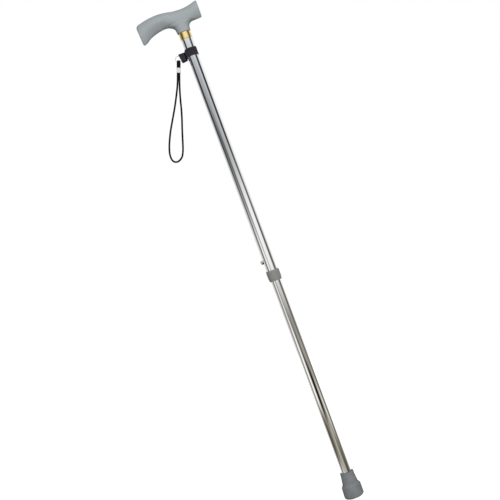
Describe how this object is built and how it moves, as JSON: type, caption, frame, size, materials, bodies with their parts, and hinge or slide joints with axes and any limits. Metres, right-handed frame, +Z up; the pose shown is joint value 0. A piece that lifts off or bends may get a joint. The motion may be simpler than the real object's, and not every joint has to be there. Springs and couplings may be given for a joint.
{
  "type": "telescopic walking stick",
  "caption": "Adjustable walking stick with a moulded derby handle, chromed telescopic tubes, snap button, locking ring, rubber ferrule and a corded wrist loop.",
  "frame": {"origin": "centre of the ferrule's tread, where the stick meets the ground", "axes": "+Z up against gravity; the stick leans 20.25 degrees in the XZ plane, as a hand holds it out, with its handle towards -X, so that the wrist loop hangs plumb; +Y across the handle, away from the side that the picture shows"},
  "size_m": [0.4117, 0.036, 0.9018],
  "materials": {
    "handle_plastic": "moulded plastic, satin",
    "chromed_tube": "bright chrome",
    "gold_collar": "bright gold plate",
    "ring_plastic": "moulded plastic, matt",
    "nylon": "moulded nylon",
    "steel": "plain steel",
    "ring_wire": "nickel-plated wire",
    "ferrule_rubber": "moulded rubber, matt",
    "strap_webbing": "woven webbing",
    "loop_cord": "braided cord",
    "crimp_plastic": "smooth pale sleeve"
  },
  "bodies": {
    "upper": {"handle": "handle_plastic", "handle_pin": "steel", "collar_ring": "gold_collar", "upper_tube": "chromed_tube", "strap_band": "strap_webbing", "strap_hook_patch": "strap_webbing", "strap_tail": "strap_webbing"},
    "lower": {"lower_tube": "chromed_tube", "lower_tube_cap": "nylon", "button_spring": "steel", "ferrule": "ferrule_rubber", "ferrule_washer": "steel"},
    "button": {"snap_button": "chromed_tube"},
    "collet": {"collet": "nylon"},
    "locking_ring": {"locking_ring": "ring_plastic"},
    "split_ring": {"split_ring": "ring_wire"},
    "wrist_loop": {"cord_eye_left": "loop_cord", "cord_eye_right": "loop_cord", "cord_crimp": "crimp_plastic", "wrist_loop": "loop_cord"}
  },
  "joints": [
    {"name": "tube_slide", "type": "slide", "parent": "upper", "child": "lower", "axis": [-0.3461, 0, 0.9382], "range_m": [0, 0.1524]},
    {"name": "button_press", "type": "slide", "parent": "lower", "child": "button", "axis": [0.9382, 0, 0.3461], "range_m": [0, 0.006], "stiffness_N_per_m": 400, "springref_m": -0.002, "deforming": ["button_spring"]},
    {"name": "collet_travel", "type": "slide", "parent": "upper", "child": "collet", "axis": [-0.3461, 0, 0.9382], "range_m": [-0.002, 0]},
    {"name": "ring_turn", "type": "hinge", "parent": "collet", "child": "locking_ring", "pos_m": [-0.14745, 0, 0.39967], "axis": [-0.3461, 0, 0.9382], "range_deg": [0, 360]},
    {"name": "ring_swing", "type": "hinge", "parent": "upper", "child": "split_ring", "pos_m": [-0.31965, 0, 0.78988], "axis": [0, 1, 0], "range_deg": [-8, 75]},
    {"name": "loop_swing", "type": "hinge", "parent": "split_ring", "child": "wrist_loop", "pos_m": [-0.31965, 0, 0.78409], "axis": [1, 0, 0], "range_deg": [-60, 60]}
  ],
  "couplings": [
    {"joint": "ring_turn", "follows": "collet_travel", "rad_per_m": -3141.5}
  ]
}
